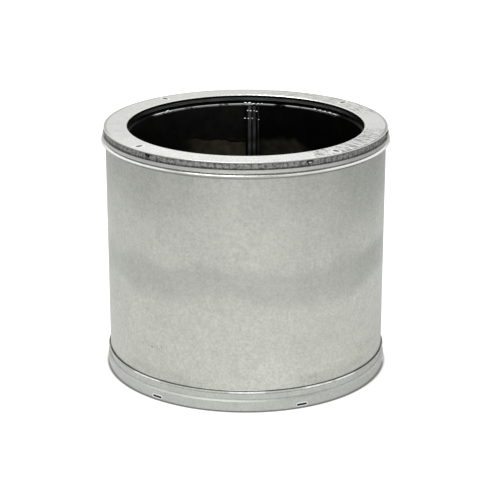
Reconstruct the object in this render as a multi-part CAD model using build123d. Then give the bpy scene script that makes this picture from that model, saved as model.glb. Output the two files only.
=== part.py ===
from build123d import *
from math import asin, degrees
import os

os.makedirs("parts", exist_ok=True)

# One length of insulated double-wall chimney pipe, standing on end as it is stocked.
# Millimetres, +Z up, the origin at the middle of the bottom edge. Azimuths are measured
# from the front (-Y) towards +X.

# Main sizes
LENGTH = 272.5
FLUE_D = 254.0
CASING_D = 304.8
LINER_SHEET = 0.45
CASING_SHEET = 0.5
COUPLER_SHEET = 0.4
SLIDE_FIT = 0.1
BLANKET_PLAY = 0.2

# Head of the top coupler, which the socket of the next length drops over
HEAD_H = 7.5
COLLAR_H = 6.5
COLLAR_PLAY = 1.7
COLLAR_BEND = 1.0
RIM_GROWTH = 1.7
RIM_BEND = 0.4
RIM_H = 1.3
NECK_GROWTH = 0.9
NECK_SLOPE = 0.5

# Pressed dimples in the flat face
DIMPLE_COUNT = 4
DIMPLE_AZIMUTH = 40.0
DIMPLE_INSET = 8.4
DIMPLE_W = 2.6
DIMPLE_DEPTH = 0.45

# Skirt of the top coupler, from the shoulder down over the casing
SHOULDER_GROWTH = 2.9
SHOULDER_H = 3.6
GROOVE_GROWTH = 1.7
GROOVE_H = 1.2
BEAD_GROWTH = 4.6
BEAD_SLOPE_H = 1.5
BEAD_CREST_H = 1.1
BEAD_UNDER_H = 0.8
BEAD_BEND = 0.7
SKIRT_LAP = 1.2

# Socket of the bottom coupler and the sleeve above it
SOCKET_PLAY = 0.15
FOLD_GAP = 0.12
SOCKET_H = 11.4
STEP_H = 1.8
SLEEVE_H = 6.2
LIP_GROWTH = 2.2
LIP_H = 3.2
LINER_FLANGE_H = 7.0
CUT_REACH = 2.0

# Twist-lock lugs on the head and the slots in the socket that take them
LUG_PAIRS = 3
LUG_AZIMUTH = -41.0
LUG_SPREAD = 66.0
LUG_W = 6.5
LUG_H = 3.8
LUG_RISE = 1.5
SLOT_COUNT = 6
SLOT_AZIMUTH = 22.5
SLOT_L = 11.5
SLOT_H = 2.2
SLOT_UP = 4.0

# Bell at the top of the liner
BELL_DEPTH = 11.0
BELL_PLAY = 0.15
BELL_TOP_GAP = 1.6
LINER_FOOT = 0.8

# Lock seams: the liner's stands proud inside the flue, the casing's is folded inwards
LINER_SEAM_AZIMUTH = 176.9
LINER_SEAM_W = 13.5
LINER_SEAM_RISE = 1.2
LINER_SEAM_FLAT = 0.4
LINER_SEAM_END = 28.0
CASING_SEAM_AZIMUTH = 180.0
CASING_SEAM_W = 9.0
CASING_SEAM_RISE = 1.0
SEAM_GROOVE_W = 0.7
SEAM_GROOVE_DEPTH = 0.25

# Radii of the three walls
flue_r = FLUE_D / 2
liner_r = flue_r + LINER_SHEET
casing_r = CASING_D / 2
casing_inner_r = casing_r - CASING_SHEET
half_sheet = COUPLER_SHEET / 2

# Heights that the pieces share
shoulder_z = LENGTH - HEAD_H
bell_z = LENGTH - BELL_DEPTH
casing_top_z = shoulder_z - SHOULDER_H
groove_z = casing_top_z - GROOVE_H
crest_z = groove_z - BEAD_SLOPE_H
bead_end_z = crest_z - BEAD_CREST_H - BEAD_UNDER_H
skirt_end_z = bead_end_z - SKIRT_LAP
web_z = HEAD_H + half_sheet
step_top_z = SOCKET_H + STEP_H

# Radii that the pieces share
collar_r = flue_r + COLLAR_PLAY
collar_outer_r = collar_r + COUPLER_SHEET
bell_r = collar_outer_r + BELL_PLAY
rim_r = casing_r + RIM_GROWTH
sleeve_r = casing_r + SLIDE_FIT
socket_r = rim_r + SOCKET_PLAY


def turned(section):
    """Turn a section drawn in radius and height about the pipe's axis."""
    return revolve(Plane.XZ * section, Axis.Z)


def ring(inner_r, outer_r, bottom, top):
    """A plain round wall."""
    width = outer_r - inner_r
    height = top - bottom
    return turned(Pos(inner_r, bottom) * Rectangle(width, height, align=(Align.MIN, Align.MIN)))


def pressed(corners, sheet):
    """A pressed ring of sheet. Its centre line runs through (radius, height, bend) corners."""
    points = [(radius, height) for radius, height, bend in corners]
    bends = [bend for radius, height, bend in corners[1:-1]]
    return turned(trace(FilletPolyline(*points, radius=bends), sheet))


def at_azimuth(azimuth, shape):
    """Move a shape that was made on the +X side round to an azimuth."""
    return Rot(0, 0, azimuth - 90) * shape


def strip(inner_r, outer_r, width, bottom, top, azimuth):
    """A narrow upright strip of round wall, centred on an azimuth."""
    reach = outer_r * 1.1
    wedge = Pos(reach / 2, 0, (bottom + top) / 2) * Box(reach, width, top - bottom)
    return at_azimuth(azimuth, ring(inner_r, outer_r, bottom, top) & wedge)


def around(count, start, shape):
    """Copies of a shape at equal steps round the pipe."""
    return [at_azimuth(start + index * 360 / count, shape) for index in range(count)]


def inner_liner():
    """The flue liner, with a bell at its top and a lock seam down its back."""
    wall_mid = flue_r + LINER_SHEET / 2
    bell_mid = bell_r + LINER_SHEET / 2
    ledge_mid = bell_z - LINER_SHEET / 2
    tube = pressed(
        [
            (wall_mid, LINER_FOOT, 0),
            (wall_mid, ledge_mid, 0),
            (bell_mid, ledge_mid, 0),
            (bell_mid, LENGTH - BELL_TOP_GAP, 0),
        ],
        LINER_SHEET,
    )
    seam_end_z = LENGTH - LINER_SEAM_END
    into_wall = flue_r + LINER_SHEET / 2
    raised = strip(
        flue_r - LINER_SEAM_RISE, into_wall, LINER_SEAM_W, LINER_FOOT, seam_end_z, LINER_SEAM_AZIMUTH
    )
    flattened = strip(
        flue_r - LINER_SEAM_FLAT, into_wall, LINER_SEAM_W, seam_end_z, ledge_mid, LINER_SEAM_AZIMUTH
    )
    return tube + raised + flattened


def outer_casing():
    """The outside wall, with its lock seam folded inwards and a fine groove outside."""
    bottom = step_top_z
    wall = ring(casing_inner_r, casing_r, bottom, casing_top_z)
    fold = strip(
        casing_inner_r - CASING_SEAM_RISE,
        casing_inner_r + CASING_SHEET / 2,
        CASING_SEAM_W,
        bottom,
        casing_top_z,
        CASING_SEAM_AZIMUTH,
    )
    groove = strip(
        casing_r - SEAM_GROOVE_DEPTH,
        casing_r + CUT_REACH,
        SEAM_GROOVE_W,
        bottom,
        casing_top_z,
        CASING_SEAM_AZIMUTH,
    )
    return wall + fold - groove


def ball_below(radius, centre_r, centre_z, top):
    """The part of a ball that lies below a height."""
    latitude = degrees(asin((top - centre_z) / radius))
    return Pos(centre_r, 0, centre_z) * Sphere(radius, arc_size2=latitude, align=None)


def pressed_lug():
    """A half dome that stands out of the neck, and the hollow behind it, open at the top."""
    half_w = LUG_W / 2
    radius = (half_w**2 + LUG_RISE**2) / (2 * LUG_RISE)
    neck_outer_r = casing_r + NECK_GROWTH
    centre_r = neck_outer_r + LUG_RISE - radius
    top = LENGTH - RIM_H - NECK_SLOPE - COUPLER_SHEET
    centre_z = top - LUG_H + half_w
    inside_neck = Pos(0, 0, centre_z) * Cylinder(neck_outer_r - half_sheet, LENGTH)
    dome = ball_below(radius, centre_r, centre_z, top) - inside_neck
    return dome, ball_below(radius - COUPLER_SHEET, centre_r, centre_z, top)


def pressed_dimple():
    """A small round dent in the flat face, and the bulge that it makes underneath."""
    radius = ((DIMPLE_W / 2) ** 2 + DIMPLE_DEPTH**2) / (2 * DIMPLE_DEPTH)
    centre_r = casing_r - DIMPLE_INSET
    centre_z = LENGTH - DIMPLE_DEPTH + radius
    bulge = ball_below(radius + COUPLER_SHEET, centre_r, centre_z, LENGTH - half_sheet)
    return bulge, ball_below(radius, centre_r, centre_z, centre_z)


def top_coupler():
    """Collar, flat face, rim, head and skirt, pressed from one ring, with its lugs."""
    collar_mid = collar_r + half_sheet
    rim_mid = rim_r - half_sheet
    neck_mid = casing_r + NECK_GROWTH - half_sheet
    shoulder_mid = casing_r + SHOULDER_GROWTH - half_sheet
    groove_mid = casing_r + GROOVE_GROWTH - half_sheet
    bead_mid = casing_r + BEAD_GROWTH - half_sheet
    sleeve_mid = sleeve_r + half_sheet
    face_z = LENGTH - half_sheet
    ledge_z = shoulder_z - half_sheet
    body = pressed(
        [
            (collar_mid, LENGTH - COLLAR_H, 0),
            (collar_mid, face_z, COLLAR_BEND),
            (rim_mid, face_z, RIM_BEND),
            (rim_mid, LENGTH - RIM_H, 0),
            (neck_mid, LENGTH - RIM_H - NECK_SLOPE, 0),
            (neck_mid, ledge_z, 0),
            (shoulder_mid, ledge_z, 0),
            (shoulder_mid, casing_top_z, 0),
            (groove_mid, groove_z, 0),
            (bead_mid, crest_z, BEAD_BEND),
            (bead_mid, crest_z - BEAD_CREST_H, BEAD_BEND),
            (sleeve_mid, bead_end_z, 0),
            (sleeve_mid, skirt_end_z, 0),
        ],
        COUPLER_SHEET,
    )
    dome, hollow = pressed_lug()
    bulge, dent = pressed_dimple()
    second_lug = LUG_AZIMUTH + LUG_SPREAD
    body = body + around(LUG_PAIRS, LUG_AZIMUTH, dome) + around(LUG_PAIRS, second_lug, dome)
    body = body + around(DIMPLE_COUNT, DIMPLE_AZIMUTH, bulge)
    body = body - around(LUG_PAIRS, LUG_AZIMUTH, hollow) - around(LUG_PAIRS, second_lug, hollow)
    return body - around(DIMPLE_COUNT, DIMPLE_AZIMUTH, dent)


def bottom_coupler():
    """Flange, web, folded socket wall, sleeve and lip, pressed from one ring, with its slots."""
    flange_mid = liner_r + SLIDE_FIT + half_sheet
    inner_mid = socket_r + half_sheet
    outer_mid = inner_mid + COUPLER_SHEET + FOLD_GAP
    hem_r = COUPLER_SHEET + FOLD_GAP / 2
    sleeve_mid = sleeve_r + half_sheet
    lip_mid = casing_r + LIP_GROWTH - half_sheet
    sleeve_top_z = step_top_z + SLEEVE_H
    inside = pressed(
        [
            (flange_mid, web_z + LINER_FLANGE_H, 0),
            (flange_mid, web_z, 0),
            (inner_mid, web_z, 0),
            (inner_mid, hem_r, 0),
        ],
        COUPLER_SHEET,
    )
    outside = pressed(
        [
            (outer_mid, hem_r, 0),
            (outer_mid, SOCKET_H, 0),
            (sleeve_mid, step_top_z, 0),
            (sleeve_mid, sleeve_top_z, 0),
            (lip_mid, sleeve_top_z + LIP_H / 2, 0),
            (sleeve_mid + LIP_GROWTH / 2, sleeve_top_z + LIP_H, 0),
        ],
        COUPLER_SHEET,
    )
    hem = turned(Pos((inner_mid + outer_mid) / 2, hem_r) * Circle(hem_r))
    slot = SlotOverall(SLOT_L, SLOT_H)
    cutter = extrude(Plane.YZ.offset(inner_mid) * Pos(0, SLOT_UP) * slot, CUT_REACH, both=True)
    return inside + outside + hem - around(SLOT_COUNT, SLOT_AZIMUTH, cutter)


def insulation_blanket():
    """The fibre blanket that fills the space between liner and casing."""
    low_r = liner_r + SLIDE_FIT + COUPLER_SHEET + BLANKET_PLAY
    high_r = bell_r + LINER_SHEET + BLANKET_PLAY
    outer_r = casing_inner_r - BLANKET_PLAY
    bottom = web_z + half_sheet + BLANKET_PLAY
    waist = bell_z - LINER_SHEET - BLANKET_PLAY
    top = LENGTH - DIMPLE_DEPTH - COUPLER_SHEET - BLANKET_PLAY
    blanket = ring(low_r, outer_r, bottom, waist) + ring(high_r, outer_r, waist, top)
    notch = strip(
        casing_inner_r - CASING_SEAM_RISE - BLANKET_PLAY,
        outer_r + CUT_REACH,
        CASING_SEAM_W + 2 * BLANKET_PLAY,
        bottom,
        top,
        CASING_SEAM_AZIMUTH,
    )
    return blanket - notch


PIECES = {
    "inner_liner": inner_liner,
    "outer_casing": outer_casing,
    "top_coupler": top_coupler,
    "bottom_coupler": bottom_coupler,
    "insulation_blanket": insulation_blanket,
}

for name, make in PIECES.items():
    piece = make()
    export_step(piece, f"parts/{name}.step")
    box = piece.bounding_box()
    print(name, "solids", len(piece.solids()), "volume", round(piece.volume), "z", box.min.Z, box.max.Z)
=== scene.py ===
# %% [markdown]
# # A short length of insulated chimney pipe
# Two sheet-metal tubes stand one inside the other with a fibre blanket between them, and two pressed rings
# close the ends. The shapes come from the CAD frame at their real size. This lesson gives them their finish:
# three metals, a few small pressed and welded details, a plain studio and the camera.

# %% Load the frame
import math

import bpy
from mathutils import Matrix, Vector


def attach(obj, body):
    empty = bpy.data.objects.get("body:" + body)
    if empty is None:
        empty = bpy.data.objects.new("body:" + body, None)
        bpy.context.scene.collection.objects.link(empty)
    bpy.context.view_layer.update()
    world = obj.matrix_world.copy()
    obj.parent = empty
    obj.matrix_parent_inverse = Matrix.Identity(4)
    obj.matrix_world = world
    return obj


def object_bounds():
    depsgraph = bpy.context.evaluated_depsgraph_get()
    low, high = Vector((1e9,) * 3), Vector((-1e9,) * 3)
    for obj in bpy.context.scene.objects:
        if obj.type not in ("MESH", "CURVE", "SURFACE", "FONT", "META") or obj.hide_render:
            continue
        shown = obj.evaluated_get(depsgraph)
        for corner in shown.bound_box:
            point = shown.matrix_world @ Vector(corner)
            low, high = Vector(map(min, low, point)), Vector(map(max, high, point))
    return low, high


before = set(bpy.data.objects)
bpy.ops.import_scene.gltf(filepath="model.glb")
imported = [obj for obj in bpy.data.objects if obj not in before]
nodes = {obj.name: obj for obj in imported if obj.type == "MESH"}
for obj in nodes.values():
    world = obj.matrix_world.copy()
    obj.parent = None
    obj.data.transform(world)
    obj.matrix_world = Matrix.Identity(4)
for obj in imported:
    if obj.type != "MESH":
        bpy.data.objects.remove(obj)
cad_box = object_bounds()
HEIGHT = cad_box[1][2] - cad_box[0][2]
print("nodes:", sorted(nodes))
print("height in mm:", round(HEIGHT * 1000, 2))

# %% [markdown]
# ## Units and colours
# Sizes are written in millimetres, as on a drawing, and turned to metres once. Colours are written as the
# sRGB hex values that a colour picker shows, and turned to the linear values that a shader mixes. Mixing the
# hex values themselves would make every blend too dark.

# %% Units and colours
MM = 0.001


def linear(hex_colour):
    """The linear RGBA of an sRGB hex colour."""
    channels = [int(hex_colour[i : i + 2], 16) / 255 for i in (1, 3, 5)]
    curve = [c / 12.92 if c <= 0.04045 else ((c + 0.055) / 1.055) ** 2.4 for c in channels]
    return (*curve, 1.0)


print("mid grey is", [round(c, 3) for c in linear("#808080")])

# %% [markdown]
# ## The sizes of the pipe
# The finish follows the shape: the painted shade of a crease sits at its own height, a weld sits on its own
# seam. So the heights and radii of the pressed rings are named once here, measured up from the bottom edge and
# out from the axis, as the drawing has them.

# %% Sizes of the pipe
LENGTH = HEIGHT / MM
LEDGE = LENGTH - 11.0
COLLAR_END = LENGTH - 6.5
NECK_R = 153.3
DENT_R = 144.0
NECK_TOP = LENGTH - 1.8
SHOULDER = LENGTH - 7.5
GROOVE = SHOULDER - 4.8
BEAD = GROOVE - 2.05
SKIRT_END = GROOVE - 4.6
BAND_R = 155.17
BAND_TOP = 11.4
STEP_TOP = 13.2
LIP_TOP = STEP_TOP + 9.4
FACE_INNER_R = 131.0
FACE_OUTER_R = 153.2
RIM_R = 153.4
OUTERMOST_R = 156.0
LUG_FOOT_R = 153.36
LUG_FACE_R = 154.3
LUG_MOUTH = 270.3
print("the skirt ends", round(SKIRT_END, 1), "mm up and the lip", round(LIP_TOP, 1), "mm up")

# %% [markdown]
# ## The camera
# The photograph was taken with a long lens from a little above the rim. A camera fitted to the outlines of the
# opening, the face and the bottom edge gave its distance, height and lens. The small shift only frames the
# object where the photograph has it, so it does no harm when the camera goes round the pipe.

# %% Camera
PHOTO_SIZE = 500
FOCAL_PIXELS = 1704
CAMERA_DISTANCE = 1893.8 * MM
CAMERA_ELEVATION = math.radians(18.81)
OBJECT_PIXEL = (245.75, 241.95)

aim = Vector((0, 0, HEIGHT / 2))
back_off = Vector((0, -math.cos(CAMERA_ELEVATION), math.sin(CAMERA_ELEVATION)))
camera_data = bpy.data.cameras.new("photo_camera")
camera_data.sensor_width = 36
camera_data.lens = FOCAL_PIXELS / PHOTO_SIZE * camera_data.sensor_width
camera_data.shift_x = (PHOTO_SIZE / 2 - OBJECT_PIXEL[0]) / PHOTO_SIZE
camera_data.shift_y = (OBJECT_PIXEL[1] - PHOTO_SIZE / 2) / PHOTO_SIZE
camera = bpy.data.objects.new("photo_camera", camera_data)
camera.location = aim + back_off * CAMERA_DISTANCE
camera.rotation_euler = (-back_off).to_track_quat("-Z", "Y").to_euler()
bpy.context.collection.objects.link(camera)
bpy.context.scene.camera = camera
print("lens in mm:", round(camera_data.lens, 1))

# %% [markdown]
# ## A helper for node trees
# Materials and Geometry Nodes are both trees of nodes. One small function adds a node, sets its options and
# fills its inputs with values or links. A node given as an input stands for its first output in use, so each
# tree reads as a list of steps. Two more helpers start a material and give it to a CAD node.


# %% Add one node
def add(tree, kind, inputs=None, **options):
    """Add a node, set its options, and fill its inputs with values, sockets or nodes."""
    node = tree.nodes.new(kind)
    for name, value in options.items():
        setattr(node, name, value)
    for key, value in (inputs or {}).items():
        if isinstance(value, bpy.types.Node):
            value = next(output for output in value.outputs if output.enabled)
        if isinstance(value, bpy.types.NodeSocket):
            tree.links.new(value, node.inputs[key])
        else:
            node.inputs[key].default_value = value
    return node


def new_material(name):
    """A material with an empty tree, ready for its nodes."""
    material = bpy.data.materials.new(name)
    material.use_nodes = True
    material.node_tree.nodes.clear()
    return material, material.node_tree


def dress(node_name, material):
    """Give a CAD node its material."""
    slots = nodes[node_name].data.materials
    slots.clear()
    slots.append(material)
    print(node_name, "wears", material.name)


# %% [markdown]
# ## Round the pipe
# Marks on a turned object are easier to place by height, radius and angle than by X, Y and Z. The first
# function works these out from Object coordinates, which stay fixed to the metal when the camera moves. The
# others make masks: a soft band about a value, which can lie within another mask, and a mottle from a noise.
# A tint then mixes a shade into a colour where its mask is 1.


# %% Pipe coordinates, masks and tints
def pipe_coordinates(tree):
    """The place, height and radius in mm, and the azimuth in degrees from the front."""
    place = add(tree, "ShaderNodeTexCoord").outputs["Object"]
    parts = add(tree, "ShaderNodeSeparateXYZ", {0: place}).outputs
    flat = add(tree, "ShaderNodeVectorMath", {0: place, 1: (1, 1, 0)}, operation="MULTIPLY")
    reach = add(tree, "ShaderNodeVectorMath", {0: flat}, operation="LENGTH")
    radius = add(tree, "ShaderNodeMath", {0: reach, 1: 1 / MM}, operation="MULTIPLY")
    height = add(tree, "ShaderNodeMath", {0: parts["Z"], 1: 1 / MM}, operation="MULTIPLY")
    front = add(tree, "ShaderNodeMath", {0: parts["Y"], 1: -1}, operation="MULTIPLY")
    angle = add(tree, "ShaderNodeMath", {0: parts["X"], 1: front}, operation="ARCTAN2")
    azimuth = add(tree, "ShaderNodeMath", {0: angle}, operation="DEGREES")
    return place, height, radius, azimuth


def band(tree, value, low, high, fade, within=1.0):
    """A mask that is 1 from low to high and fades to 0 outside them, inside another mask if one is given."""
    offset = add(tree, "ShaderNodeMath", {0: value, 1: (low + high) / 2}, operation="SUBTRACT")
    away = add(tree, "ShaderNodeMath", {0: offset}, operation="ABSOLUTE")
    half = (high - low) / 2
    slope = {"Value": away, "From Min": half, "From Max": half + fade, "To Min": within, "To Max": 0.0}
    return add(tree, "ShaderNodeMapRange", slope, interpolation_type="SMOOTHSTEP")


def mottle(tree, vector, size, low=0.0, high=1.0):
    """A noise of about one patch per size, whose usual range of 0.3 to 0.7 is spread over low to high."""
    noise = add(tree, "ShaderNodeTexNoise", {"Vector": vector, "Scale": 1 / size, "Detail": 3.0})
    spread = {"Value": noise, "From Min": 0.3, "From Max": 0.7, "To Min": low, "To Max": high}
    return add(tree, "ShaderNodeMapRange", spread)


def tint(tree, colour, mask, amount, shade):
    """Mix a shade into a colour where the mask is 1, by an amount from 0 to 1."""
    factor = add(tree, "ShaderNodeMath", {0: mask, 1: amount}, operation="MULTIPLY")
    return add(tree, "ShaderNodeMix", {"Factor": factor, "A": colour, "B": linear(shade)}, data_type="RGBA")


print("masks and tints are ready")

# %% [markdown]
# ## The casing: aluminised steel sheet
# The casing is cold-rolled steel with a hot-dip coat of aluminium, rolled dull. To the eye it is a satin light
# grey with a fine grain of bright and dark specks, faint streaks along the rolling direction, which runs round
# the pipe, and wide soft blotches where the sheet isn't quite flat. The grain could be an image, but noise on
# Object coordinates has no seam and needs no file. The grain is drawn at about twice its real size, because a
# real speck is finer than a pixel of the render.

# %% The casing's grain
GRAIN = (2.6, 0.88, 1.09)
MOTTLE = (7, 0.95, 1.04)
BLOTCH = (55, 0.95, 1.04)
STREAK = (0.05, 0.4, 0)
casing_steel, tree = new_material("aluminised_steel_sheet")
place, height, _, azimuth = pipe_coordinates(tree)
unrolled = add(tree, "ShaderNodeCombineXYZ", {"X": azimuth, "Y": height})
rolled = add(tree, "ShaderNodeVectorMath", {0: unrolled, 1: STREAK}, operation="MULTIPLY")
tone = mottle(tree, rolled, 1.0, 0.98, 1.015)
for size, low, high in (GRAIN, MOTTLE, BLOTCH):
    layer = mottle(tree, place, size * MM, low, high)
    tone = add(tree, "ShaderNodeMath", {0: tone, 1: layer}, operation="MULTIPLY")
coat = add(
    tree,
    "ShaderNodeMix",
    {"Factor": 1.0, "A": linear("#d5d7cf"), "B": tone},
    data_type="RGBA",
    blend_type="MULTIPLY",
)
print("grain, mottle and blotches in mm:", GRAIN[0], MOTTLE[0], BLOTCH[0])

# %% [markdown]
# ## Soft bands, scuffs and the seam
# The wide darker bands that follow the height are painted reflections, and a slow noise makes their edges
# wander. The middle one is a little stronger on the right. A scuff is a place where the thin ridges of a noise
# are let through, so it shows as faint scratches side by side. Just above the lip, towards the sides, the
# casing has painted shade, and the dark lines against the couplers are painted shade in the gaps.

# %% The casing's marks
# From and to azimuth, from and to height, fade, amount
SCUFFS = {
    "left foot": (-46, -36, 58, 66, 3, 0.5),
    "right foot": (52, 62, 30, 52, 4, 0.5),
    "right lip": (22, 33, 25, 34, 3, 0.5),
    "left lip": (-26, -14, 24, 33, 3, 0.4),
    "left skirt": (-72, -60, 238, 250, 3, 0.5),
    "back": (140, 152, 90, 120, 5, 0.4),
    "back foot": (-150, -120, 34, 48, 4, 0.4),
}
wander = mottle(tree, place, 60 * MM, -9.0, 9.0)
wavy_height = add(tree, "ShaderNodeMath", {0: height, 1: wander})
# Painted reflections: two wide darker bands by height, the middle one stronger on the right.
coat = tint(tree, coat, band(tree, wavy_height, 130, 146, 18), 0.24, "#8f918c")
coat = tint(tree, coat, band(tree, wavy_height, 225, 262, 30), 0.1, "#83857f")
right_painted_reflection = band(tree, azimuth, 55, 90, 10, within=band(tree, wavy_height, 130, 144, 16))
coat = tint(tree, coat, right_painted_reflection, 0.15, "#8f918c")
noise = {"Vector": place, "Scale": 1 / (9 * MM), "Detail": 2.0, "Distortion": 2.0}
scratch = add(tree, "ShaderNodeTexNoise", noise)
ridge = band(tree, scratch, 0.496, 0.504, 0.014)
for start, end, low, high, fade, amount in SCUFFS.values():
    spot = band(tree, azimuth, start, end, fade, within=band(tree, height, low, high, fade, within=ridge))
    coat = tint(tree, coat, spot, amount, "#6e6f6a")
from_front = add(tree, "ShaderNodeMath", {0: azimuth}, operation="ABSOLUTE")
# Painted shade on the casing just above the lip, towards the sides.
lip_side_painted_shade = band(tree, from_front, 26, 50, 10, within=band(tree, height, LIP_TOP, LIP_TOP + 9, 8))
coat = tint(tree, coat, lip_side_painted_shade, 0.15, "#83857f")
# Painted shade in the gaps, below the top coupler's skirt and above the bottom coupler's lip.
coat = tint(tree, coat, band(tree, height, SKIRT_END - 1.0, SKIRT_END + 2, 0.6), 0.5, "#4e4f4b")
coat = tint(tree, coat, band(tree, height, LIP_TOP - 2, LIP_TOP + 0.35, 0.5), 0.6, "#5d5e5a")
coat = tint(tree, coat, band(tree, from_front, 179.8, 180.2, 0.1), 0.7, "#50514d")
rough = mottle(tree, place, 9 * MM, 0.3, 0.36)
waves = add(tree, "ShaderNodeBump", {"Height": layer, "Distance": 3.6 * MM, "Strength": 0.5})
surface = {"Base Color": coat, "Metallic": 1.0, "Roughness": rough, "Normal": waves}
shader = add(tree, "ShaderNodeBsdfPrincipled", surface)
add(tree, "ShaderNodeOutputMaterial", {"Surface": shader})
dress("outer_casing", casing_steel)

# %% [markdown]
# ## The couplers: galvanised steel, pressed
# The two end rings are pressed from galvanised strip. The press leaves them brighter than the casing, and a
# little glossier. What the press draws out runs round the ring, so one noise is stretched that way. Another is
# stretched across the face, for the scratches from pushing the next length on. Both are coarser than the real
# marks, which are finer than a pixel.

# %% The couplers' grain
ROUND_THE_RING = (0.15, 0.5, 0.8)
ACROSS_THE_FACE = (1.1, 0.08, 0.5)
SPECK = 2.4
coupler_steel, tree = new_material("galvanised_steel_pressing")
place, height, radius, azimuth = pipe_coordinates(tree)
from_front = add(tree, "ShaderNodeMath", {0: azimuth}, operation="ABSOLUTE")
unrolled = add(tree, "ShaderNodeCombineXYZ", {"X": azimuth, "Y": radius, "Z": height})
ringwise = add(tree, "ShaderNodeVectorMath", {0: unrolled, 1: ROUND_THE_RING}, operation="MULTIPLY")
crosswise = add(tree, "ShaderNodeVectorMath", {0: unrolled, 1: ACROSS_THE_FACE}, operation="MULTIPLY")
drawn = mottle(tree, ringwise, 1.0)
hatch = mottle(tree, crosswise, 1.0)
speck = mottle(tree, place, SPECK * MM)
grain = mottle(tree, place, SPECK * MM, 0.87, 1.08)
cloudy = mottle(tree, place, 14 * MM, 0.94, 1.04)
tone = add(tree, "ShaderNodeMath", {0: grain, 1: cloudy}, operation="MULTIPLY")
zinc = add(
    tree,
    "ShaderNodeMix",
    {"Factor": 1.0, "A": linear("#f0f1ec"), "B": tone},
    data_type="RGBA",
    blend_type="MULTIPLY",
)
print("the couplers are galvanised")

# %% [markdown]
# ## Creases and the recess
# Each pressed ring has its own height, so a table of bands gives its marks: painted shade in the recess, under
# the rim, in the shoulder corner and the groove, under the skirt end, on the step and at the foot, and darker
# tones on the skirt, the sleeve and the band. The recess under the rim has this painted shade over the dull,
# speckled grey of metal that nothing has rubbed. The bead has painted shade near the front and a painted
# highlight towards the sides, and the step takes a second painted shade at the front.

# %% The couplers' creases
# Painted shade in most rows; skirt, sleeve and band are darker tones of the sheet.
# From and to height, fade, amount, shade
SHADE_AND_TONE_BANDS = {
    "recess": (SHOULDER + 0.3, LENGTH - 0.5, 0.3, 0.6, "#5c5d59"),
    "under the rim": (NECK_TOP - 0.4, NECK_TOP + 0.4, 0.3, 0.25, "#30312e"),
    "shoulder corner": (SHOULDER - 0.3, SHOULDER + 0.8, 0.3, 0.74, "#30312e"),
    "skirt": (SKIRT_END, SHOULDER, 0.2, 0.22, "#a5a6a1"),
    "groove": (GROOVE - 0.5, GROOVE + 0.5, 0.7, 0.45, "#484945"),
    "skirt end": (SKIRT_END, SKIRT_END + 0.9, 0.4, 0.4, "#565753"),
    "sleeve": (STEP_TOP, LIP_TOP, 0.3, 0.5, "#8f918c"),
    "step": (BAND_TOP - 0.1, STEP_TOP + 0.3, 0.2, 0.58, "#7b7c77"),
    "band": (1.0, BAND_TOP - 0.4, 0.3, 0.55, "#9a9c97"),
    "foot": (-1, 0.7, 0.5, 0.6, "#30312e"),
}
outside = band(tree, radius, NECK_R - 0.6, 160, 0.2)
for low, high, fade, amount, shade in SHADE_AND_TONE_BANDS.values():
    zinc = tint(tree, zinc, band(tree, height, low, high, fade, within=outside), amount, shade)
recess = band(tree, height, SHOULDER + 0.3, NECK_TOP, 0.3, within=outside)
step = band(tree, height, BAND_TOP, STEP_TOP, 0.3)
zinc = tint(tree, zinc, band(tree, speck, 0.75, 1, 0.2, within=recess), 0.45, "#b4b5b0")
zinc = tint(tree, zinc, band(tree, drawn, 0, 0.25, 0.25, within=recess), 0.3, "#3a3b38")
zinc = tint(tree, zinc, band(tree, speck, 0, 0.25, 0.2, within=recess), 0.5, "#2a2b29")
# Painted shade on the bead near the front, a painted highlight on it towards the sides, and painted shade on
# the step at the front.
bead = band(tree, height, BEAD - 1.6, BEAD + 1.6, 0.4, within=outside)
zinc = tint(tree, zinc, band(tree, azimuth, -26, 8, 12, within=bead), 0.35, "#8b8d87")
zinc = tint(tree, zinc, band(tree, from_front, 36, 70, 10, within=bead), 0.5, "#ffffff")
zinc = tint(tree, zinc, band(tree, from_front, 0, 22, 14, within=step), 0.3, "#7b7c77")
print("creases:", ", ".join(SHADE_AND_TONE_BANDS))

# %% [markdown]
# ## The flat face
# The face has a painted highlight line at its inner edge and at the front of the rim. Between them it has
# painted shade towards the back, and painted shade in the crease along the back edge and on the right. On the
# right it has been handled: it is hatched with short scratches.

# %% The face's marks
face = band(tree, height, LENGTH - 0.3, LENGTH + 1, 0.1)
flat = band(tree, radius, FACE_INNER_R, FACE_OUTER_R, 0.3, within=face)
handled = band(tree, azimuth, 32, 76, 8, within=flat)
scored = band(tree, azimuth, 112, 168, 8, within=flat)
edge_crease_shade = band(tree, radius, RIM_R - 2.2, RIM_R, 0.4, within=face)
inner_edge_highlight = band(tree, radius, FACE_INNER_R - 3, FACE_INNER_R - 0.8, 0.25, within=face)
rim = band(tree, height, LENGTH - 1.2, LENGTH + 1, 0.2)
rim_highlight = band(tree, radius, RIM_R, OUTERMOST_R, 0.3, within=rim)
# Painted shade towards the back, and in the crease inside the outer edge.
zinc = tint(tree, zinc, band(tree, from_front, 78, 181, 40, within=flat), 0.3, "#8b8d87")
zinc = tint(tree, zinc, band(tree, from_front, 82, 181, 20, within=edge_crease_shade), 0.45, "#50524d")
zinc = tint(tree, zinc, band(tree, azimuth, 50, 80, 12, within=edge_crease_shade), 0.4, "#50524d")
zinc = tint(tree, zinc, band(tree, hatch, 0, 0.4, 0.1, within=handled), 0.75, "#62645e")
zinc = tint(tree, zinc, band(tree, drawn, 0.8, 1, 0.12, within=handled), 0.5, "#5c5e58")
zinc = tint(tree, zinc, band(tree, drawn, 0.7, 1, 0.1, within=scored), 0.75, "#4a4b47")
# Painted highlight lines at the inner edge and at the front of the rim.
zinc = tint(tree, zinc, inner_edge_highlight, 0.9, "#c8c9c4")
zinc = tint(tree, zinc, band(tree, from_front, 0, 60, 20, within=rim_highlight), 0.6, "#b0b1ac")
print("the face is marked")
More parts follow.
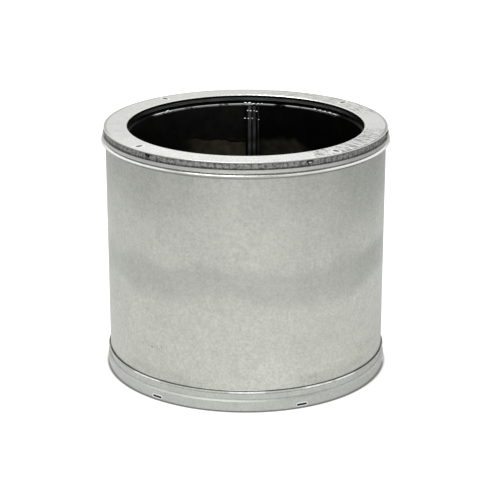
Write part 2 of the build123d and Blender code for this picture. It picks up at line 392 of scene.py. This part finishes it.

# %% [markdown]
# ## Dents and lugs
# The four dents repeat round the face, so their marks use the distance to the nearest one: the turn from it is
# folded back at half the step, as a mirror does. Each dent is painted as a dot of painted shade inside a ring
# of painted highlight. The marks are drawn out towards the axis, so that they still show from a low angle. A
# lug stands out of the neck, so its radius picks it out: it has painted shade round its edge and in its open
# mouth, and is grey where it stands furthest out. The lug on the right has a painted highlight.

# %% The marks of dents and lugs
DENT_FIRST, DENT_STEP = 40, 90
DENT_SQUEEZE = 0.6
turn = add(tree, "ShaderNodeMath", {0: azimuth, 1: DENT_FIRST}, operation="SUBTRACT")
turn = add(tree, "ShaderNodeMath", {0: turn, 1: DENT_STEP / 2}, operation="PINGPONG")
along = add(tree, "ShaderNodeMath", {0: turn, 1: math.radians(DENT_R)}, operation="MULTIPLY")
across = add(tree, "ShaderNodeMath", {0: radius, 1: DENT_R}, operation="SUBTRACT")
drawn_out = add(tree, "ShaderNodeMath", {0: across, 1: DENT_SQUEEZE}, operation="MULTIPLY")
offset = add(tree, "ShaderNodeCombineXYZ", {"X": along, "Y": drawn_out})
from_dent = add(tree, "ShaderNodeVectorMath", {0: offset}, operation="LENGTH")
top = band(tree, height, LENGTH - 6, LENGTH + 1, 1)
# Each dent: a ring of painted highlight round a dot of painted shade.
zinc = tint(tree, zinc, band(tree, from_dent, 2.8, 4.2, 0.5, within=top), 0.7, "#ffffff")
zinc = tint(tree, zinc, band(tree, from_dent, -1, 2.4, 0.4, within=top), 0.97, "#101010")

lug = band(tree, height, SHOULDER + 0.9, LUG_MOUTH + 0.2, 0.2)
lug_edge = band(tree, radius, LUG_FOOT_R, LUG_FACE_R - 0.1, 0.1, within=lug)
lug_face = band(tree, radius, LUG_FACE_R, OUTERMOST_R, 0.15, within=lug)
whole_lug = band(tree, radius, LUG_FOOT_R, OUTERMOST_R, 0.1)
mouth = band(tree, height, LUG_MOUTH - 1.0, LUG_MOUTH + 0.3, 0.2, within=whole_lug)
# Painted shade round each lug's edge and in its mouth, and a painted highlight on the right lug.
zinc = tint(tree, zinc, lug_edge, 0.95, "#161615")
zinc = tint(tree, zinc, lug_face, 0.9, "#50514e")
zinc = tint(tree, zinc, band(tree, azimuth, 20, 30, 2, within=lug_face), 1.0, "#e4e5e0")
zinc = tint(tree, zinc, mouth, 0.95, "#101010")
print("dents every", DENT_STEP, "degrees")

# %% [markdown]
# ## The collar and the lip's painted highlights
# The collar hangs down into the flue. It is duller than the face, so at the back it catches some light from
# above, and its bend and its sides are painted black as shade. The lip of the bottom ring is dull, with
# painted highlights in bright stretches along its top. They are laid out one by one, because they follow no
# rule. All the masks then meet in one shader: dull places are rougher.

# %% The collar, the lip and the shader
inside = band(tree, radius, FACE_INNER_R - 11, FACE_INNER_R - 1, 0.2)
collar = band(tree, height, COLLAR_END - 1, LENGTH - 2.0, 0.5, within=inside)
collar_bend = band(tree, height, LENGTH - 3.2, LENGTH - 0.9, 0.3, within=inside)
zinc = tint(tree, zinc, collar, 0.92, "#66676a")
zinc = tint(tree, zinc, band(tree, drawn, 0, 0.3, 0.25, within=collar), 0.5, "#3a3b3c")
# Painted shade: the collar's sides and its bend are black.
zinc = tint(tree, zinc, band(tree, from_front, 60, 100, 30, within=collar), 1.0, "#060606")
zinc = tint(tree, zinc, collar_bend, 0.97, "#050505")

# Painted highlights along the top of the lip, in the listed stretches.
LIP_HIGHLIGHT_STRETCHES = [(-50, -38), (-5, 6), (25, 35), (40, 48), (118, 131), (-160, -138)]
lip_top = band(tree, height, LIP_TOP - 1.6, LIP_TOP + 1, 0.4, within=mottle(tree, place, 6 * MM, 0.6, 1.1))
lip_highlight = 0.0
for start, end in LIP_HIGHLIGHT_STRETCHES:
    stretch = band(tree, azimuth, start, end, 3, within=lip_top)
    lip_highlight = add(tree, "ShaderNodeMath", {0: lip_highlight, 1: stretch}, operation="MAXIMUM")
zinc = tint(tree, zinc, lip_highlight, 0.95, "#ffffff")
dull = 0.0
for matt in (collar, recess, step):
    dull = add(tree, "ShaderNodeMath", {0: dull, 1: matt}, operation="MAXIMUM")
rough = add(tree, "ShaderNodeMapRange", {"Value": dull, "To Min": 0.22, "To Max": 0.5})
grainy = add(tree, "ShaderNodeBump", {"Height": speck, "Distance": 0.03 * MM, "Strength": 0.5})
surface = {"Base Color": zinc, "Metallic": 1.0, "Roughness": rough, "Normal": grainy}
shader = add(tree, "ShaderNodeBsdfPrincipled", surface)
add(tree, "ShaderNodeOutputMaterial", {"Surface": shader})
dress("top_coupler", coupler_steel)
dress("bottom_coupler", coupler_steel)

# %% [markdown]
# ## The liner: stainless steel, dark inside the flue
# The liner is thin stainless sheet, annealed bright. Inside the pipe it mirrors only its own dark far side,
# and its colour is painted dark as shade, so it looks black and glossy. Above the ledge it is painted black as
# shade. The ledge below the bell faces up and has a painted highlight, the lock seam shows as fine dull lines
# with painted highlights, and a painted reflection lies lower down, an olive patch with a thin dark line at
# its top. Dull places are rougher, so they catch light from the opening.

# %% The liner
# From and to azimuth, amount
SEAM_LINES = ((177.3, 178.7, 0.6), (174.9, 176.2, 0.5), (173.2, 173.7, 0.7))
liner_steel, tree = new_material("bright_annealed_stainless")
place, height, _, azimuth = pipe_coordinates(tree)
from_front = add(tree, "ShaderNodeMath", {0: azimuth}, operation="ABSOLUTE")
cloud = mottle(tree, place, 14 * MM)
ragged = add(tree, "ShaderNodeMath", {0: height, 1: mottle(tree, place, 34 * MM, -7.0, 7.0)})
patchy = mottle(tree, place, 8 * MM, 0.5, 1.1)
# Painted reflection: an olive patch low on the back wall, and a fainter one on its other side.
olive_reflection = band(tree, ragged, 140, 217, 7, within=band(tree, azimuth, -180, -158, 16, within=patchy))
faint_olive_reflection = band(tree, ragged, 140, 215, 8, within=band(tree, azimuth, 150, 168, 10, within=patchy))
# The base colour is painted dark as shade inside the flue.
steel = tint(tree, linear("#2e2e2d"), cloud, 0.5, "#4c4c4a")
steel = tint(tree, steel, olive_reflection, 0.6, "#75705a")
steel = tint(tree, steel, faint_olive_reflection, 0.25, "#75705a")
# A painted dark line along the top of the painted reflection.
reflection_top_line = band(tree, ragged, 219.6, 220.6, 0.9, within=band(tree, azimuth, -180, -154, 8))
steel = tint(tree, steel, reflection_top_line, 0.9, "#080808")
below_bell = band(tree, height, -1, LEDGE - 2, 0.5, within=mottle(tree, place, 9 * MM, 0.4, 1.1))
dull = add(tree, "ShaderNodeMath", {0: olive_reflection, 1: faint_olive_reflection}, operation="MAXIMUM")
# Painted highlights on the lock seam's folds, which are also rougher.
for start, end, amount in SEAM_LINES:
    stripe = band(tree, azimuth, start, end, 0.3, within=below_bell)
    steel = tint(tree, steel, stripe, amount, "#8a8a8c")
    dull = add(tree, "ShaderNodeMath", {0: dull, 1: stripe}, operation="MAXIMUM")
# Painted shade: black above the ledge, inside the bell.
steel = tint(tree, steel, band(tree, height, LEDGE + 1.2, LENGTH, 0.3), 0.95, "#070707")
# Painted highlight along the ledge, brightest near its two ends.
ledge = band(tree, height, LEDGE - 1.0, LEDGE + 0.2, 0.3, within=band(tree, from_front, 128, 181, 4))
steel = tint(tree, steel, band(tree, cloud, 0.35, 1, 0.25, within=ledge), 1.0, "#e8e8ea")
steel = tint(tree, steel, band(tree, from_front, 129, 138, 1.5, within=ledge), 1.0, "#ffffff")
duller_on_the_left = {"Value": azimuth, "From Min": -120, "From Max": 170, "To Min": 0.4, "To Max": 0.3}
haze = add(tree, "ShaderNodeMapRange", duller_on_the_left)
rough = add(tree, "ShaderNodeMapRange", {"Value": dull, "To Min": haze, "To Max": 0.54})
shader = add(tree, "ShaderNodeBsdfPrincipled", {"Base Color": steel, "Metallic": 1.0, "Roughness": rough})
add(tree, "ShaderNodeOutputMaterial", {"Surface": shader})
dress("inner_liner", liner_steel)

# %% [markdown]
# ## The blanket: ceramic fibre
# The blanket is a needled fibre mat. It fills the space between the tubes and is shut in by the couplers. It
# is white, matt and cloudy, and is finished all the same, because someone may open the part.

# %% The blanket
blanket_fibre, tree = new_material("needled_ceramic_fibre")
place = add(tree, "ShaderNodeTexCoord").outputs["Object"]
fleece = tint(tree, linear("#ece9e0"), mottle(tree, place, 4 * MM), 0.4, "#cfcabd")
shader = add(tree, "ShaderNodeBsdfPrincipled", {"Base Color": fleece, "Roughness": 0.9})
add(tree, "ShaderNodeOutputMaterial", {"Surface": shader})
dress("insulation_blanket", blanket_fibre)

# %% [markdown]
# ## Small details that repeat
# The slots have a raised bright lip where the punch went through, each lug has a cut edge at its mouth, and
# the welder left small nuggets on the liner's seam and ledge. They could be modelled one by one, but each is
# one small shape set round the pipe by a rule, which is what Geometry Nodes are for. The first helper makes a
# tree with a named input for each size. The last sets the sizes and keeps the result as a plain mesh.


# %% Trees with named sizes
def new_geometry(name, sizes):
    """A Geometry Nodes tree with a named input for each size, and the sockets of those inputs."""
    tree = bpy.data.node_groups.new(name, "GeometryNodeTree")
    tree.interface.new_socket("Geometry", in_out="OUTPUT", socket_type="NodeSocketGeometry")
    for size in sizes:
        kind = "NodeSocketInt" if size in ("Count", "Seed") else "NodeSocketFloat"
        tree.interface.new_socket(size, in_out="INPUT", socket_type=kind)
    return tree, add(tree, "NodeGroupInput").outputs


def finish_tree(tree, instances, material):
    """End a tree: real geometry instead of instances, smooth, with its material."""
    real = add(tree, "GeometryNodeRealizeInstances", {0: instances})
    smooth = add(tree, "GeometryNodeSetShadeSmooth", {0: real})
    dressed = add(tree, "GeometryNodeSetMaterial", {"Geometry": smooth, "Material": material})
    add(tree, "NodeGroupOutput", {0: dressed})


def plain_mesh(name, tree, sizes):
    """Run a tree with its sizes set, and keep the result as a plain mesh."""
    piece = bpy.data.objects.new(name, bpy.data.meshes.new(name))
    bpy.context.collection.objects.link(piece)
    modifier = piece.modifiers.new(name, "NODES")
    modifier.node_group = tree
    for socket in tree.interface.items_tree:
        if socket.in_out == "INPUT":
            modifier[socket.identifier] = sizes[socket.name]
    grown = piece.evaluated_get(bpy.context.evaluated_depsgraph_get())
    mesh = bpy.data.meshes.new_from_object(grown)
    piece.modifiers.clear()
    piece.data = mesh
    print(name, "has", len(mesh.polygons), "faces")
    return piece


# %% [markdown]
# ## Places round the pipe
# A shape is made at the front of the pipe, and turning it by its azimuth faces it outwards. Slots and lugs
# both come in pairs: two at a set spread, and the pair again at each third of a turn. So one rule gives all
# their azimuths.


# %% Copies round the pipe
def set_round(tree, count, azimuth, front, shape, scale=(1, 1, 1)):
    """Copies of a shape, each carried from the front to its azimuth and facing outwards."""
    turn = add(tree, "ShaderNodeMath", {0: azimuth}, operation="RADIANS")
    position = add(tree, "ShaderNodeVectorRotate", {"Vector": front, "Angle": turn}, rotation_type="Z_AXIS")
    line = add(tree, "GeometryNodeMeshLine", {"Count": count})
    places = add(tree, "GeometryNodeSetPosition", {"Geometry": line, "Position": position})
    facing = add(tree, "ShaderNodeCombineXYZ", {"Z": turn})
    rotation = add(tree, "FunctionNodeEulerToRotation", {0: facing})
    inputs = {"Points": places, "Instance": shape, "Rotation": rotation, "Scale": scale}
    return add(tree, "GeometryNodeInstanceOnPoints", inputs)


def front_place(tree, size):
    """The point at the front of the pipe, at the tree's radius and height."""
    out = add(tree, "ShaderNodeMath", {0: size["Radius"], 1: -1.0}, operation="MULTIPLY")
    return add(tree, "ShaderNodeCombineXYZ", {"Y": out, "Z": size["Height"]})


def paired_azimuth(tree, size):
    """The azimuth of each copy: a pair at the spread, repeated at thirds of a turn."""
    index = add(tree, "GeometryNodeInputIndex")
    halved = add(tree, "ShaderNodeMath", {0: index, 1: 2.0}, operation="DIVIDE")
    pair = add(tree, "ShaderNodeMath", {0: halved}, operation="FLOOR")
    second = add(tree, "ShaderNodeMath", {0: index, 1: 2.0}, operation="MODULO")
    by_thirds = {0: pair, 1: 120.0, 2: size["First azimuth"]}
    third = add(tree, "ShaderNodeMath", by_thirds, operation="MULTIPLY_ADD")
    return add(tree, "ShaderNodeMath", {0: second, 1: size["Spread"], 2: third}, operation="MULTIPLY_ADD")


print("copies are set round the pipe")

# %% [markdown]
# ## The lips of the slots
# A punch pushes a small ridge up round each slot, and handling rubs that ridge bright. It is a wire on the
# slot's outline: a rectangle with its ends rounded almost to a half circle, and a circle drawn along it. It
# is flattened against the band, so that it stands out less than it is wide. Its own material is plain bright
# zinc with a fine grain, because the coupler's dirt hasn't stayed on it.

# %% Slot lips
NEARLY_HALF = 0.499
FLATTENED = (1, 0.4, 1)
bright_zinc, tree = new_material("rubbed_zinc_edge")
place = add(tree, "ShaderNodeTexCoord").outputs["Object"]
edge_tone = tint(tree, linear("#ffffff"), mottle(tree, place, SPECK * MM), 0.2, "#d4d5d0")
shader = add(tree, "ShaderNodeBsdfPrincipled", {"Base Color": edge_tone, "Metallic": 1.0, "Roughness": 0.35})
add(tree, "ShaderNodeOutputMaterial", {"Surface": shader})

SLOT_LIP = {
    "Count": 6,
    "First azimuth": 22.5,
    "Spread": 60.0,
    "Radius": (BAND_R - 0.05) * MM,
    "Height": 4.0 * MM,
    "Slot length": 12.9 * MM,
    "Slot height": 3.5 * MM,
    "Wire": 0.55 * MM,
}
tree, size = new_geometry("slot_lip_tree", SLOT_LIP)
rectangle = {"Width": size["Slot length"], "Height": size["Slot height"]}
outline = add(tree, "GeometryNodeCurvePrimitiveQuadrilateral", rectangle)
end_radius = add(tree, "ShaderNodeMath", {0: size["Slot height"], 1: NEARLY_HALF}, operation="MULTIPLY")
ends = {"Curve": outline, "Count": 6, "Radius": end_radius}
rounded = add(tree, "GeometryNodeFilletCurve", ends, mode="POLY")
wire = add(tree, "GeometryNodeCurvePrimitiveCircle", {"Resolution": 8, "Radius": size["Wire"]})
ridge = add(tree, "GeometryNodeCurveToMesh", {"Curve": rounded, "Profile Curve": wire})
upright = add(tree, "GeometryNodeTransform", {"Geometry": ridge, "Rotation": (math.pi / 2, 0, 0)})
azimuths = paired_azimuth(tree, size)
slots = set_round(tree, size["Count"], azimuths, front_place(tree, size), upright, FLATTENED)
finish_tree(tree, slots, bright_zinc)
slot_lips = plain_mesh("slot_lips", tree, SLOT_LIP)

# %% [markdown]
# ## The mouths of the lugs
# Each lug is half a dome, cut off level at the top. The cut edge is an arc with its middle inside the wall,
# so a wire on that arc gives the raw edge its thickness.

# %% Lug edges
LUG_EDGE = {
    "Count": 6,
    "First azimuth": -41.0,
    "Spread": 66.0,
    "Radius": 150.53 * MM,
    "Height": LUG_MOUTH * MM,
    "Arc radius": 4.2 * MM,
    "Half sweep": math.radians(46),
    "Wire": 0.2 * MM,
}
tree, size = new_geometry("lug_edge_tree", LUG_EDGE)
start = add(tree, "ShaderNodeMath", {0: -math.pi / 2, 1: size["Half sweep"]}, operation="SUBTRACT")
sweep = add(tree, "ShaderNodeMath", {0: size["Half sweep"], 1: 2.0}, operation="MULTIPLY")
curve = {"Resolution": 16, "Radius": size["Arc radius"], "Start Angle": start, "Sweep Angle": sweep}
arc = add(tree, "GeometryNodeCurveArc", curve)
wire = add(tree, "GeometryNodeCurvePrimitiveCircle", {"Resolution": 8, "Radius": size["Wire"]})
edge = add(tree, "GeometryNodeCurveToMesh", {"Curve": arc, "Profile Curve": wire, "Fill Caps": True})
lugs = set_round(tree, size["Count"], paired_azimuth(tree, size), front_place(tree, size), edge)
finish_tree(tree, lugs, coupler_steel)
lug_edges = plain_mesh("lug_edges", tree, LUG_EDGE)

# %% [markdown]
# ## Weld nuggets in the liner
# The seam was tacked where it was flattened and where the bell begins, and the ledge has a few tacks too. A
# nugget is a small flattened ball of bright stainless weld. Each group is a row with some scatter, from a
# fixed seed, so it comes out the same each time.

# %% Weld nuggets
weld_steel, tree = new_material("stainless_weld_metal")
place = add(tree, "ShaderNodeTexCoord").outputs["Object"]
beads = tint(tree, linear("#ffffff"), mottle(tree, place, 1.5 * MM), 0.5, "#b4b4be")
shader = add(tree, "ShaderNodeBsdfPrincipled", {"Base Color": beads, "Metallic": 1.0, "Roughness": 0.5})
add(tree, "ShaderNodeOutputMaterial", {"Surface": shader})

NUGGET_SIZES = ("Count", "First azimuth", "Step", "Radius", "Height", "Scatter", "Nugget", "Seed")
tree, size = new_geometry("weld_nugget_tree", NUGGET_SIZES)
index = add(tree, "GeometryNodeInputIndex")
by_steps = {0: index, 1: size["Step"], 2: size["First azimuth"]}
azimuth = add(tree, "ShaderNodeMath", by_steps, operation="MULTIPLY_ADD")
either_way = {0: (-1, 0, -1), 1: (1, 0, 1), "Seed": size["Seed"]}
unit = add(tree, "FunctionNodeRandomValue", either_way, data_type="FLOAT_VECTOR")
shift = add(tree, "ShaderNodeVectorMath", {0: unit, "Scale": size["Scatter"]}, operation="SCALE")
scattered = add(tree, "ShaderNodeVectorMath", {0: front_place(tree, size), 1: shift}, operation="ADD")
low_and_wide = {0: (0.7, 0.4, 0.5), 1: (1.6, 0.6, 0.9), "Seed": size["Seed"]}
squat = add(tree, "FunctionNodeRandomValue", low_and_wide, data_type="FLOAT_VECTOR")
ball = add(tree, "GeometryNodeMeshIcoSphere", {"Radius": size["Nugget"], "Subdivisions": 3})
finish_tree(tree, set_round(tree, size["Count"], azimuth, scattered, ball, squat), weld_steel)

# In the order of the sizes above: degrees, millimetres and a seed
WELDS = {
    "seam_welds_at_bell": (4, 174.2, 1.6, 126.6, 253.5, 0.5, 0.9, 3),
    "seam_welds_at_fold": (5, 173.4, 1.7, 126.2, 244.2, 0.8, 0.9, 5),
    "ledge_tacks_back": (5, 171.5, 2.1, 127.4, LEDGE + 0.9, 0.4, 1.3, 7),
    "ledge_tacks_right": (4, 131.5, 3.4, 127.4, LEDGE + 0.9, 0.5, 1.4, 11),
    "ledge_tacks_left": (3, -137.6, 1.4, 127.7, LEDGE + 0.4, 0.3, 1.4, 13),
}
weld_rows = []
for name, (count, first, step, radius, height, scatter, nugget, seed) in WELDS.items():
    values = (count, first, step, radius * MM, height * MM, scatter * MM, nugget * MM, seed)
    weld_rows.append(plain_mesh(name, tree, dict(zip(NUGGET_SIZES, values))))

# %% [markdown]
# ## Who carries what
# The part has no joints, so every piece rides on its one body.

# %% Riding
coupler_pieces = [slot_lips, lug_edges]
for piece in coupler_pieces:
    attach(piece, "root")
for piece in weld_rows:
    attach(piece, "root")
print("pieces riding:", len(coupler_pieces) + len(weld_rows))

# %% [markdown]
# ## The floor
# The floor is white paper. The camera and the metal see it as white through Light Path, and its diffuse part
# still takes the object's shadow. For the metal it has a painted glow, a pool of light that falls off with
# distance, as a paper sweep is lit best in its middle, and it is painted a little uneven from side to side.
# The paper inside the pipe's foot gets no glow and its colour is painted dark, a painted shadow.

# %% The floor
FLOOR_SIZE = 8
FAR_END = 1300
FAR_FADE = (605, 815)
NEAR_FADE = (500, 400)
PAPER_WHITE = 0.9
POOL = [(0.0, "#8c8c8c"), (0.30, "#949494"), (0.45, "#8c8c8c"), (0.60, "#7c7c7c"), (0.8, "#626262")]
bpy.ops.mesh.primitive_plane_add(size=FLOOR_SIZE)
floor = bpy.context.object
floor.name = "studio_floor"
material, tree = new_material("white_paper")
_, _, reach, azimuth = pipe_coordinates(tree)
path = add(tree, "ShaderNodeLightPath").outputs
# Painted pool of light on the floor, which only the metal sees.
lit = add(tree, "ShaderNodeMapRange", {"Value": reach, "From Min": 100, "From Max": FAR_END})
pool = add(tree, "ShaderNodeValToRGB", {"Fac": lit})
for stop, (position, shade) in enumerate(POOL):
    while len(pool.color_ramp.elements) <= stop:
        pool.color_ramp.elements.new(position)
    pool.color_ramp.elements[stop].position = position
    pool.color_ramp.elements[stop].color = linear(shade)
# Painted shadow: inside the pipe's foot the paper is dark and has no glow.
painted_shadow_inside = {"Value": reach, "From Min": BAND_R - 1, "From Max": BAND_R + 4, "To Min": 0.02, "To Max": 1.0}
open_floor = add(tree, "ShaderNodeMapRange", painted_shadow_inside)
far = add(tree, "ShaderNodeMapRange", {"Value": reach, "From Min": FAR_FADE[0], "From Max": FAR_FADE[1]})
near = add(tree, "ShaderNodeMapRange", {"Value": reach, "From Min": NEAR_FADE[0], "From Max": NEAR_FADE[1]})
# Painted reflections: the pool is made darker or brighter from side to side.
# Where along the floor, from and to azimuth and fade, level
SIDES = [
    (far, (-80, -50, 30), 0.3),
    (far, (90, 120, 35), 0.3),
    (far, (-8, 22, 25), 1.6),
    (near, (-130, -50, 45), 0.77),
    (near, (50, 130, 40), 0.97),
]
level = add(tree, "ShaderNodeMath", {0: path["Is Glossy Ray"], 1: open_floor}, operation="MULTIPLY")
for distance, (start, end, fade), side_level in SIDES:
    side = band(tree, azimuth, start, end, fade, within=distance)
    factor = add(tree, "ShaderNodeMapRange", {"Value": side, "To Min": 1.0, "To Max": side_level})
    level = add(tree, "ShaderNodeMath", {0: level, 1: factor}, operation="MULTIPLY")
seen = add(tree, "ShaderNodeMath", {0: path["Is Camera Ray"], 1: PAPER_WHITE}, operation="MULTIPLY")
seen = add(tree, "ShaderNodeMath", {0: seen, 1: open_floor}, operation="MULTIPLY")
paper_tone = add(
    tree,
    "ShaderNodeMix",
    {"Factor": 1.0, "A": linear("#e6e6e6"), "B": open_floor},
    data_type="RGBA",
    blend_type="MULTIPLY",
)
paper = add(tree, "ShaderNodeBsdfDiffuse", {"Color": paper_tone})
glow = add(tree, "ShaderNodeEmission", {"Color": (1, 1, 1, 1), "Strength": seen})
sheen = add(tree, "ShaderNodeEmission", {"Color": pool, "Strength": level})
paper = add(tree, "ShaderNodeAddShader", {0: paper, 1: glow})
paper = add(tree, "ShaderNodeAddShader", {0: paper, 1: sheen})
add(tree, "ShaderNodeOutputMaterial", {"Surface": paper})
floor.data.materials.append(material)
print("the floor glows to", FAR_END, "mm")

# %% [markdown]
# ## The room and the lamp
# A white room lights the metal from all round. The metal sees it a little brighter higher up, as under a
# studio ceiling, and the camera sees it plain white. One large soft lamp above the pipe gives the bead and the
# flat face their highlights.

# %% The room
world = bpy.data.worlds.new("studio_world")
bpy.context.scene.world = world
world.use_nodes = True
tree = world.node_tree
tree.nodes.clear()
path = add(tree, "ShaderNodeLightPath").outputs
way = add(tree, "ShaderNodeTexCoord").outputs["Generated"]
up = add(tree, "ShaderNodeSeparateXYZ", {0: way}).outputs["Z"]
ceiling = {"Value": up, "From Min": 0.26, "From Max": 0.42, "To Min": 0.85, "To Max": 1.2}
rise = add(tree, "ShaderNodeMapRange", ceiling)
mirrored = add(tree, "ShaderNodeMath", {0: path["Is Glossy Ray"], 1: rise}, operation="MULTIPLY")
other = add(tree, "ShaderNodeMapRange", {"Value": path["Is Glossy Ray"], "To Min": 0.35, "To Max": 0.0})
level = add(tree, "ShaderNodeMath", {0: mirrored, 1: other}, operation="ADD")
level = add(tree, "ShaderNodeMath", {0: level, 1: path["Is Camera Ray"]}, operation="MAXIMUM")
sky = add(tree, "ShaderNodeBackground", {"Color": (1, 1, 1, 1), "Strength": level})
add(tree, "ShaderNodeOutputWorld", {"Surface": sky})

SOFTBOX_PLACE = Vector((-0.3, -0.5, 1.6))
SOFTBOX_SIZE = 1.0
SOFTBOX_WATTS = 12
lamp = bpy.data.lights.new("top_softbox", "AREA")
lamp.size = SOFTBOX_SIZE
lamp.energy = SOFTBOX_WATTS
holder = bpy.data.objects.new("top_softbox", lamp)
holder.location = SOFTBOX_PLACE
holder.rotation_euler = (SOFTBOX_PLACE - aim).to_track_quat("Z", "Y").to_euler()
bpy.context.collection.objects.link(holder)
bpy.context.scene.view_settings.view_transform = "Standard"
print("lamp in watts:", lamp.energy)
